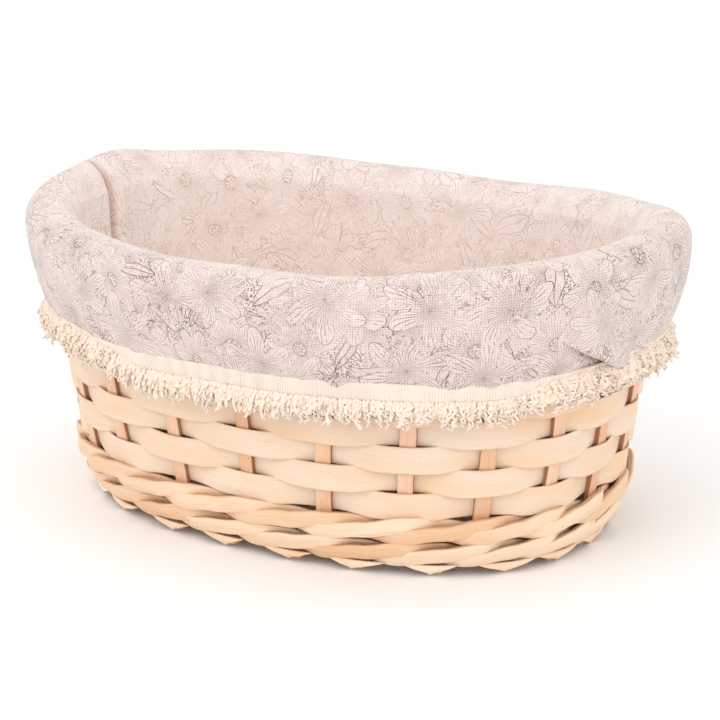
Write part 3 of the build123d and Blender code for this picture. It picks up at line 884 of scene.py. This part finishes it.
def make_cloth(material):
    """One closed sheet: floor, wall, roll over the rim, skirt and hem."""
    turn, z, out, zone = cloth_shape()
    share = np.clip(zone - 1, 0, 1)[None, :] * (zone >= 1) * (zone <= 2)
    on_skirt = (zone > 1) & (zone < 2)
    lift, sag = tuck(turn[:, None], share)
    out = out + lift * on_skirt
    z = z - sag * on_skirt

    angle = turn[:, None] + 0 * z
    surface = on_wall_angle(angle, z, out)
    edge = surface[:, 0]
    middle = edge.mean(axis=0)
    fractions = np.append(np.linspace(0.004, 1, 24)[:-1], 0.993)
    floor = middle + (edge[:, None] - middle) * fractions[None, :, None]
    radius = fractions[None, :] * np.hypot(edge[:, 0] - middle[0], edge[:, 1] - middle[1])[:, None]
    ripple = 0.0004 * np.sin(radius * 190 + 3 * np.sin(3 * turn)[:, None]) * np.sin(4 * turn + 1.0)[:, None]
    corner = np.clip((fractions - 0.93) / 0.07, 0, 1)[None, :]
    floor[..., 2] = LINER_FLOOR + ripple * (1 - corner) + FLOOR_EDGE_RISE * corner**2
    sheet = np.concatenate([floor, surface], axis=1)

    along = np.roll(sheet, -1, axis=0) - np.roll(sheet, 1, axis=0)
    down = np.gradient(sheet, axis=1)
    normal = np.cross(along, down)
    normal /= np.maximum(np.linalg.norm(normal, axis=2, keepdims=True), 1e-12)
    inside = sheet - normal * CLOTH_THICKNESS / 2
    outside = sheet + normal * CLOTH_THICKNESS / 2
    closed = np.concatenate([inside, outside[:, ::-1]], axis=1)

    steps = np.linalg.norm(np.diff(sheet, axis=1), axis=2)
    drop = np.concatenate([np.zeros((len(turn), 1)), np.cumsum(steps, axis=1)], axis=1)
    floor_rows = floor.shape[1]
    drop = drop - drop[:, floor_rows:floor_rows + 1]
    u = arc_length(np.append(turn, LEFT_CREASE + 2 * math.pi))[:, None] * RIM_STRETCH
    v = drop.mean(axis=0)
    u = np.repeat(u, sheet.shape[1], axis=1)
    v = np.repeat(v[None, :], len(turn) + 1, axis=0)
    wrapped = np.concatenate([sheet, sheet[:1]], axis=0)
    u[:, :floor_rows] = wrapped[:, :floor_rows, 0] + FLOOR_PRINT_SHIFT[0]
    v[:, :floor_rows] = wrapped[:, :floor_rows, 1] + FLOOR_PRINT_SHIFT[1]
    u = np.concatenate([u, u[:, ::-1], u[:, :1]], axis=1)
    v = np.concatenate([v, v[:, ::-1], v[:, :1]], axis=1)
    # tone: 1 on the floor and inner wall, easing to 0 over the roll, where the cloth shader paints a lighter
    # cloth as painted light; -1 on the reverse face
    inner = np.clip(1 - (np.concatenate([np.zeros(floor_rows), zone]) / 0.8), 0, 1)
    tone = np.concatenate([inner, np.full(len(inner), -1.0)])[None, :]

    builder = Builder()
    builder.grid(closed, u, v, tone=tone, loop_along=True, loop_across=True)
    cloth = builder.object("liner_cloth", material)
    place(cloth, "liner", "printed_linen",
          "liner_base_panel", "liner_wall_back", "liner_wall_front", "liner_skirt")
    edges = np.linalg.norm(along, axis=2) / 2
    area = float((edges[:, :-1] * steps).sum())
    return cloth, area


# ---- hem: elastic, tape and fringe --------------------------------------------------------------
TAPE_LOW = 0.0822
TAPE_HIGH = 0.0903
TAPE_OUT = 0.0078
TAPE_THICKNESS = 0.0011
TAPE_RIBS = 660
TAPE_RIB_DEPTH = 0.00026
FRINGE_DROP = 0.0118
FRINGE_CLUMPS = 420
THREADS_PER_CLUMP = 8
EXTRA_THREADS = 5  # more in each clump where the fringe is brushed up
PUFF_RISE = 0.0064  # brushed-up threads start up to this much higher
HEM_RADIUS = 0.118  # the hem's mean distance from the basket's middle
ELASTIC_LOW = 0.0885
ELASTIC_HEIGHT = 0.0050
ELASTIC_OUT = 0.0060
ELASTIC_THICKNESS = 0.0007


def hem_swell(turn):
    """How far the hem's gathers push the tape out, and how it rises and falls."""
    push = 0.0004 * ring_wobble(turn, 31, (5, 9, 14)) + 0.0003 * ring_wobble(turn, 32, (27, 33))
    push = push - end_pull(turn)
    lift = 0.0008 * ring_wobble(turn, 33, (3, 5, 8))
    return push, lift


def fluff(turn):
    """0 along the sides and 1 at the two ends of the oval, where the fringe is brushed up over the tape."""
    left = np.abs(turn_gap(turn, math.pi + 0.15))
    right = np.abs(turn_gap(turn, 0.08))
    return np.maximum(ease((1.05 - left) / 0.25), ease((0.62 - right) / 0.20))


def ring_band(builder, turn, z, front, rear, across, stretch=RIM_STRETCH):
    """A closed band round the basket between two distances from the wall's middle, its width along V."""
    faces = [on_wall_angle(turn[:, None], z, out) for out in (front, rear)]
    loop = np.concatenate([faces[0], faces[1][:, ::-1]], axis=1)
    u = arc_length(np.append(turn, 2 * math.pi)) * stretch
    builder.grid(loop, u, there_and_back(across), tone=0.5, loop_along=True, loop_across=True)


def make_tape(material):
    """The ribbed header tape that the fringe hangs from."""
    turn = circle(1320)
    push, lift = hem_swell(turn)
    up = np.linspace(0, 1, 9)
    rib = TAPE_RIB_DEPTH * np.abs(np.sin(turn * TAPE_RIBS / 2))
    face = TAPE_OUT + TAPE_THICKNESS / 2 + push + rib
    back = TAPE_OUT - TAPE_THICKNESS / 2 + push
    z = TAPE_LOW + (TAPE_HIGH - TAPE_LOW) * up + lift[:, None]
    front = face[:, None] - 0.0003 * (2 * up - 1) ** 6
    builder = Builder()
    ring_band(builder, turn, z, front, back[:, None], up * (TAPE_HIGH - TAPE_LOW))
    return place(builder.object("fringe_tape_cotton", material), "liner", "cotton_fringe", "fringe_tape")


def make_elastic(material):
    """The elastic band inside the hem."""
    turn = circle(400)
    across = np.linspace(0, ELASTIC_HEIGHT, 7)
    front = (ELASTIC_OUT + 0.0001 * np.sin(turn * 120) - end_pull(turn))[:, None]
    builder = Builder()
    ring_band(builder, turn, (ELASTIC_LOW + across)[None, :], front, front - ELASTIC_THICKNESS, across)
    place(builder.object("hem_elastic_band", material), "liner", "elastic", "hem_elastic")


def fringe_root(builder):
    """The close-packed upper part of the fringe, as one ragged skirt behind the loose threads."""
    turn = circle(900)
    push, lift = hem_swell(turn)
    t = np.linspace(0, 1, 7)
    puff = fluff(turn)
    ragged = 0.0068 + 0.0008 * puff + 0.0012 * ring_wobble(turn, 43, (71, 97, 131, 173, 211))
    z = (TAPE_LOW + 0.0008 + 0.0050 * puff + lift)[:, None] - ragged[:, None] * t
    lumps = 0.0005 * ring_wobble(turn, 44, (149, 181, 223, 263))[:, None] * np.sin(math.pi * t)
    out = TAPE_OUT - 0.0002 + (push + 0.0011 * puff)[:, None] + (0.0019 + 0.0014 * puff)[:, None] * t + lumps
    ring_band(builder, turn, z, out, out - 0.0005, t * 0.007, stretch=1.0)


def make_fringe(material):
    """Crinkled cotton threads in pointed tufts that hang from the tape, brushed up at the oval's ends."""
    rng = np.random.default_rng(41)
    builder = Builder()
    fringe_root(builder)
    ring = circle(5) + 0.4
    around = np.append(ring, ring[0] + 2 * math.pi) * 0.0003
    t = np.linspace(0, 1, 12)
    gather = 4 * t * (1 - t)
    for tuft in range(FRINGE_CLUMPS):
        centre = 2 * math.pi * (tuft + rng.uniform(-0.45, 0.45)) / FRINGE_CLUMPS
        puff = float(fluff(centre))
        push, lift = (float(value[0]) for value in hem_swell(np.array([centre])))
        reach = rng.uniform(0.72, 1.08) * (1 + 0.10 * wobble(centre * 9, 42))
        lean = rng.normal(0, 0.23 + 0.05 * puff)
        pitch = rng.uniform(0.06, 0.38) + puff * rng.uniform(0.0, 0.20)
        tone = rng.uniform()
        for thread in range(THREADS_PER_CLUMP + round(EXTRA_THREADS * puff)):
            length = FRINGE_DROP * reach * rng.uniform(0.55, 1.05) * (1 - 0.22 * puff)
            seat = rng.uniform(-1, 1)
            start_z = TAPE_LOW + lift + rng.uniform(-0.0003, 0.0008) + PUFF_RISE * puff * rng.uniform() ** 0.6
            start_out = TAPE_OUT + push + rng.uniform(-0.0002, 0.0008)
            rate = rng.uniform(2.0, 4.6) * 2 * math.pi
            phase = rng.uniform(0, 2 * math.pi)
            crinkle = rng.uniform(0.00035, 0.00085) * np.minimum(1, 4 * t)
            spread = seat * (0.0013 + 0.0010 * gather - 0.0009 * t)
            side = spread + lean * length * t + crinkle * np.cos(rate * t + phase)
            tilt = pitch + rng.normal(0, 0.10 + 0.04 * puff)
            bend = tilt * (0.75 + 0.5 * t)
            away = length * t * np.sin(bend) + rng.uniform(0.0002, 0.0016) * gather
            away = away + crinkle * np.sin(1.13 * rate * t + phase)
            z = start_z - length * t * np.cos(bend) + 0.0006 * gather * rng.uniform(-1, 1)
            out = start_out + np.maximum(away, -0.0006)
            angle = centre + side / HEM_RADIUS
            line = on_wall_angle(angle, z, out)
            thick = rng.uniform(0.00052, 0.00078) * (1 - 0.35 * t**4)
            thick = thick * (1 + 0.22 * np.sin(rng.uniform(9, 16) * t + phase))
            ahead = np.gradient(line, axis=0)
            ahead /= np.maximum(np.linalg.norm(ahead, axis=1, keepdims=True), 1e-9)
            outward = on_wall_angle(angle, z, out + 0.001) - line
            outward -= ahead * (outward * ahead).sum(axis=1, keepdims=True)
            outward /= np.maximum(np.linalg.norm(outward, axis=1, keepdims=True), 1e-9)
            sideways = np.cross(ahead, outward)
            section = outward[:, None] * np.cos(ring)[:, None] + sideways[:, None] * np.sin(ring)[:, None]
            tube = line[:, None] + section * thick[:, None, None]
            shade = 0.7 * tone + 0.3 * rng.uniform()
            builder.grid(tube, t * length, around, tone=shade, loop_across=True, cap=True)
    return place(builder.object("fringe_threads", material), "liner", "cotton_fringe", "fringe")


# ---- cloth, cotton and elastic materials --------------------------------------------------------
WEAVE_PITCH = 0.00108
DOT_PITCH = 0.00120  # between the dots drawn behind the flowers
HEART_DOT_PITCH = 0.0010


def stroke(s, distance, half_width, soft=0.00010):
    """1 on a line where distance is near 0."""
    return s.range(s.size(distance), half_width + soft, half_width)


def cell(s, place_at, size, randomness, shift):
    """Local coordinates in metres, turned at random, and two random values for each cell of a layer."""
    moved = s.vector("ADD", place_at, (shift, shift * 0.7, 0.0))
    found = s.voronoi(moved, 1 / size, randomness=randomness)
    local = s.vector("SUBTRACT", moved, found["Position"])
    r1, r2, r3 = s.split(found["Color"])[:3]
    x, y = s.split(local)[:2]
    turn = s.times(r1, 2 * math.pi)
    c = s.math("COSINE", turn)
    n = s.sine(turn)
    across = s.minus(s.times(x, c), s.times(y, n))
    up = s.plus(s.times(x, n), s.times(y, c))
    return across, up, r2, r3


def flower(s, place_at, size, shift, petals, point, heart_share, line):
    """A flower drawn in fine lines: its ink, and 1 where it covers what is behind it.

    point is over 1 for pointed petals and under 1 for round ones; heart_share 0 leaves the round heart out.
    """
    x, y, r2, r3 = cell(s, place_at, size, 0.78, shift)
    squash = s.range(r2, 0.0, 1.0, 0.95, 1.6, smooth=False)
    y = s.times(y, squash)
    radius = s.math("SQRT", s.plus(s.times(x, x), s.times(y, y)))
    angle = s.math("ARCTAN2", y, x)
    bend = s.times(s.math("DIVIDE", radius, size), s.minus(r3, 0.5))
    angle = s.plus(angle, s.times(bend, 1.5))
    petal = s.size(s.math("COSINE", s.times(angle, petals / 2)))
    reach = s.plus(0.24, s.times(s.math("POWER", petal, point), 0.76))
    reach = s.times(reach, size * 0.56)
    gap = s.minus(radius, reach)
    covers = s.range(gap, 0.0002, -0.0002)
    outline = stroke(s, gap, line)
    valley = stroke(s, s.times(petal, radius), line * 1.1)
    near = s.math("DIVIDE", radius, reach)
    spread = s.times(angle, petals * 4.0)
    spread = s.plus(spread, s.times(near, 1.2))
    ragged = s.noise(s.join(s.times(spread, 1.1), s.times(radius, 260)), detail=2)
    width = s.range(near, 0.15, 1.0, 0.62, 0.10, smooth=False)
    hatch = s.range(s.size(s.sine(spread)), s.plus(width, 0.16), width)
    ragged = s.minus(ragged, s.times(near, 0.16))
    hatch = s.times(hatch, s.range(ragged, 0.30, 0.40))
    ink = s.larger(s.times(hatch, 0.85), valley)
    ink = s.larger(s.times(ink, covers), outline)
    if heart_share:
        heart = s.minus(radius, size * heart_share)
        in_heart = s.range(heart, 0.0002, -0.0002)
        dots = s.voronoi(place_at, 1 / HEART_DOT_PITCH)["Distance"]
        dots = s.times(s.range(dots, 0.40, 0.28), in_heart)
        ink = s.times(ink, s.minus(1.0, in_heart))
        ink = s.larger(ink, s.larger(stroke(s, heart, line), dots))
    return ink, covers


def leaf(s, place_at, size, shift, line):
    """A pointed leaf with a midrib and side veins: its ink, and 1 where it covers."""
    x, y, r2, r3 = cell(s, place_at, size, 0.85, shift)
    half = size * 0.50
    bow = s.times(s.times(x, x), s.range(r2, 0.0, 1.0, -16.0, 16.0, smooth=False))
    y = s.plus(y, bow)
    share = s.math("DIVIDE", x, half)
    width = s.minus(1.0, s.times(share, share))
    plump = s.range(r3, 0.0, 1.0, 0.24, 0.42, smooth=False)
    width = s.times(s.larger(width, 0.0), s.times(plump, half))
    gap = s.minus(s.size(y), width)
    within = s.range(s.size(share), 1.0, 0.97)
    covers = s.times(s.range(gap, 0.0002, -0.0002), within)
    slanted = s.plus(x, s.times(s.size(y), 0.9))
    veins = s.range(s.size(s.sine(s.times(slanted, 2900))), 0.40, 0.10)
    patchy = s.range(s.noise(place_at, scale=240, detail=2), 0.46, 0.56)
    rib = stroke(s, y, line)
    ink = s.larger(s.times(veins, patchy), rib)
    outline = s.times(stroke(s, gap, line), within)
    return s.larger(s.times(ink, covers), outline), covers


def over(s, front, back):
    """Drawings in front hide the ones behind."""
    ink = s.larger(front[0], s.times(back[0], s.minus(1.0, front[1])))
    return ink, s.larger(front[1], back[1])


def weave(s, uv, pitch):
    """Height of a plain weave with uneven threads."""
    u, v = s.split(uv)[:2]
    drift = s.times(s.noise(uv, scale=220, detail=1), 0.0009)
    warp = s.sine(s.times(s.plus(u, drift), 2 * math.pi / pitch))
    weft = s.sine(s.times(s.plus(v, drift), 2 * math.pi / pitch))
    swap = s.times(warp, weft)
    gaps = s.range(s.math("MINIMUM", warp, weft), -0.35, -0.95)
    slub_a = s.noise(s.join(s.times(u, 130), s.times(v, 1700)), detail=2)
    slub_b = s.noise(s.join(s.times(u, 1700), s.times(v, 130), 5.0), detail=2)
    slubs = s.plus(slub_a, slub_b)
    return s.plus(s.times(swap, 0.30), slubs), slubs, gaps


def printed_linen():
    """Blush cloth with a fine line print of generic flowers and leaves."""
    s = Shader("printed_linen", Specular_IOR_Level=0.15, Sheen_Weight=0.25, Sheen_Roughness=0.6)
    uv = s.uv()
    tone = s.attribute("tone")
    # inner marks the inside faces, painted as a lighter cloth (painted light); reverse marks the reverse
    # face, painted browner (painted shade)
    inner = s.larger(tone, 0.0)
    reverse = s.larger(s.times(tone, -1.0), 0.0)
    warp = s.noise(uv, scale=60, detail=2, color=True)
    warp = s.vector("SCALE", s.vector("SUBTRACT", warp, (0.5, 0.5, 0.5)), 0.006)
    bent = s.vector("ADD", uv, warp)
    lily = flower(s, bent, size=0.036, shift=0.000, petals=6, point=1.25, heart_share=0.0, line=0.00018)
    daisy = flower(s, bent, size=0.030, shift=0.313, petals=7, point=0.55, heart_share=0.11, line=0.00018)
    aster = flower(s, bent, size=0.021, shift=0.733, petals=11, point=1.0, heart_share=0.0, line=0.00016)
    leaves = leaf(s, bent, size=0.022, shift=0.171, line=0.00018)
    small = leaf(s, bent, size=0.011, shift=0.517, line=0.00016)
    dots = s.voronoi(uv, 1 / DOT_PITCH)["Distance"]
    stipple = s.range(dots, 0.36, 0.24)
    swirl = s.noise(bent, scale=75, detail=2)
    curls = s.range(s.size(s.sine(s.times(swirl, 85))), 0.50, 0.20)
    behind = s.larger(s.times(stipple, s.range(swirl, 0.46, 0.50)),
                    s.times(curls, s.range(swirl, 0.50, 0.46)))
    ink, _ = over(s, lily, over(s, daisy, over(s, leaves, over(s, aster, over(s, small, (behind, 0.0))))))
    curly = s.noise(bent, scale=270, detail=1, distortion=0.8)
    curly = s.range(s.size(s.sine(s.times(curly, 27))), 0.46, 0.16)
    broken = s.range(s.noise(bent, scale=520, detail=1), 0.40, 0.48)
    shaded = s.range(s.noise(bent, scale=40, detail=2), 0.48, 0.54)
    curly = s.times(s.times(curly, broken), shaded)
    ink = s.larger(ink, s.times(curly, 0.95))
    patchy = s.noise(uv, scale=45, detail=3)
    height, slubs, gaps = weave(s, uv, WEAVE_PITCH)
    dry = s.range(slubs, 0.80, 1.10, 0.60, 1.0)
    strength = s.times(s.range(patchy, 0.30, 0.70, 0.62, 1.0), dry)
    # painted light: on the inside the ink is fainter and the ground, below, paler
    strength = s.times(strength, s.range(inner, 0.0, 1.0, 1.0, 0.68, smooth=False))
    ground = s.mix(inner, tint(236, 218, 212), tint(255, 243, 235))
    faded = s.noise(uv, scale=18, detail=2)
    ground = s.mix(s.times(faded, 0.35), ground, tint(230, 212, 206))
    ground = s.mix(s.range(slubs, 0.92, 1.25, 0.0, 0.55), ground, tint(252, 243, 239))
    ground = s.mix(s.range(slubs, 0.88, 0.66, 0.0, 0.35), ground, tint(206, 188, 181))
    # painted shade: the gaps between the weave's threads are darkened, less strongly on the inside
    gap_shade_strength = s.range(inner, 0.0, 1.0, 0.42, 0.12, smooth=False)
    ground = s.mix(s.times(gaps, gap_shade_strength), ground, tint(180, 156, 146))
    # painted light: lighter ink on the inside
    ink_color = s.mix(inner, tint(108, 86, 78), tint(168, 132, 108))
    front = s.mix(s.times(ink, strength), ground, ink_color)
    # painted shadow: a dark brown line with a softer brown halo along the seam at the left crease, inside
    # only
    u = s.split(uv)[0]
    first = float(arc_length(LEFT_CREASE)) * RIM_STRETCH
    seam_shadow_distance = s.math("MINIMUM", s.size(s.minus(u, first)),
                  s.size(s.minus(u, first + GIRTH * RIM_STRETCH)))
    for wide, narrow, depth, color in ((0.0045, 0.0006, 0.45, tint(196, 158, 136)),
                                       (0.0009, 0.0004, 0.85, tint(138, 100, 80))):
        front = s.mix(s.times(s.range(seam_shadow_distance, wide, narrow, 0.0, depth), inner), front, color)
    # painted shade: the reverse face is a browner copy of the cloth, standing in for the warm shade behind
    # the wicker; the print shows faintly through it
    plain = s.mix(s.range(slubs, 0.80, 1.20), tint(226, 190, 166), tint(244, 216, 196))
    plain = s.mix(s.times(ink, 0.30), plain, tint(186, 150, 128))
    s.color(s.mix(reverse, front, plain))
    s.roughness(s.range(slubs, 0.7, 1.3, 0.92, 0.80))
    s.normal(s.bump(height, 0.00022, 0.7))
    return s.material


def cotton():
    """Natural cotton yarn: fine twisted fibres along each thread."""
    s = Shader("natural_cotton", Specular_IOR_Level=0.10, Sheen_Weight=0.08, Sheen_Roughness=0.5)
    uv = s.uv()
    tone = s.attribute("tone")
    u, v = s.split(uv)[:2]
    twist = s.sine(s.plus(s.times(u, 5200), s.times(v, 9000)))
    fuzz = s.noise(s.join(s.times(u, 900), s.times(v, 2600), tone), detail=3)
    body = s.mix(tone, tint(253, 236, 222), tint(250, 229, 211))
    body = s.mix(s.range(fuzz, 0.45, 0.75, 0.0, 0.6), body, tint(255, 243, 231))
    s.color(s.mix(s.range(twist, 0.2, 1.0, 0.0, 0.20), body, tint(249, 232, 209)))
    s.roughness(s.range(fuzz, 0.3, 0.7, 0.85, 0.95))
    s.normal(s.bump(s.plus(s.times(twist, 0.4), fuzz), 0.00006, 0.5))
    return s.material


def tape_cotton():
    """The header tape: upright ribs of cotton cord crossed by fine weft."""
    s = Shader("ribbed_tape", Specular_IOR_Level=0.15, Sheen_Weight=0.25, Sheen_Roughness=0.5)
    u, v = s.split(s.uv())[:2]
    rib = s.size(s.sine(s.times(u, math.pi / 0.00115)))
    weft = s.size(s.sine(s.times(v, math.pi / 0.0008)))
    fuzz = s.noise(s.uv(), scale=1400, detail=3)
    broad = s.noise(s.uv(), scale=90, detail=2)
    body = s.mix(broad, tint(251, 238, 226), tint(245, 229, 214))
    # painted shade: the tape is darkened in the grooves between the ribs
    body = s.mix(s.range(rib, 0.45, 0.0, 0.0, 0.50), body, tint(226, 204, 180))
    edge = s.range(s.size(s.minus(v, 0.0040)), 0.0032, 0.0038)
    body = s.mix(s.times(edge, 0.35), body, tint(253, 243, 231))
    # painted shade: darker between the weft threads
    s.color(s.mix(s.range(weft, 0.4, 0.0, 0.0, 0.2), body, tint(214, 190, 165)))
    s.roughness(s.range(fuzz, 0.3, 0.7, 0.85, 0.95))
    height = s.plus(s.times(rib, 0.9), s.times(weft, 0.3))
    s.normal(s.bump(s.plus(height, s.times(fuzz, 0.5)), 0.00030, 0.7))
    return s.material


def elastic_rubber():
    """Woven elastic: rubber cords side by side, crossed by white yarn."""
    s = Shader("woven_elastic", Specular_IOR_Level=0.2)
    u, v = s.split(s.uv())[:2]
    cords = s.size(s.sine(s.times(v, math.pi / 0.0008)))
    yarn = s.sine(s.times(u, 2 * math.pi / 0.0009))
    fuzz = s.noise(s.uv(), scale=1100, detail=3)
    body = s.mix(fuzz, tint(240, 236, 230), tint(226, 220, 212))
    s.color(s.mix(s.range(cords, 0.35, 0.0, 0.0, 0.5), body, tint(196, 188, 178)))
    s.roughness(s.range(fuzz, 0.3, 0.7, 0.6, 0.8))
    s.normal(s.bump(s.plus(cords, s.times(yarn, 0.35)), 0.00025, 0.6))
    return s.material


# ---- the whole scene ----------------------------------------------------------------------------
chip = wood("chip_splint_wood", tint(242, 221, 202), tint(238, 206, 175), tint(224, 179, 136),
            SPLINT_WIDTH / 2, grain=0.8, streaks=0.28, rough=0.52, dark_edge=0.35, golden=0.40)
peeled = wood("peeled_stake_wood", tint(242, 203, 172), tint(230, 182, 146), tint(194, 140, 98),
              STAKE_WIDTH / 2, grain=0.9, streaks=0.45, dark_edge=0.85)
split = wood("split_willow_wood", tint(252, 228, 202), tint(238, 196, 158), tint(204, 144, 96),
             WALE_HEIGHT / 2, grain=1.2, streaks=0.60, rough=0.50, relief=0.09, dark_edge=0.45, golden=0.25)
# The foot flaps get a paler copy of the stake wood: partly their pale undersides, partly painted light
# against the shade at the basket's foot
fold = wood("peeled_fold_wood", tint(255, 232, 210), tint(246, 210, 178), tint(214, 158, 112), 0.008,
            grain=0.8, streaks=0.30)
base_wood = wood("base_chip_wood", tint(253, 228, 200), tint(244, 208, 168), tint(224, 176, 124),
                 BASE_CHIP_WIDTH / 2)
strand = wood("lashing_wood", tint(252, 224, 190), tint(242, 204, 160), tint(216, 168, 116), 0.002)

make_stakes(peeled)
make_splint_rows(chip)
make_wale_rods(split)
make_foot_folds(fold)
make_base_chips(base_wood, False, "base_long_chips")
make_base_chips(base_wood, True, "base_cross_chips")
make_rim(split, strand)

liner, liner_area = make_cloth(printed_linen())
tape = make_tape(tape_cotton())
make_elastic(elastic_rubber())
fringe = make_fringe(cotton())

make_camera()
make_stage()
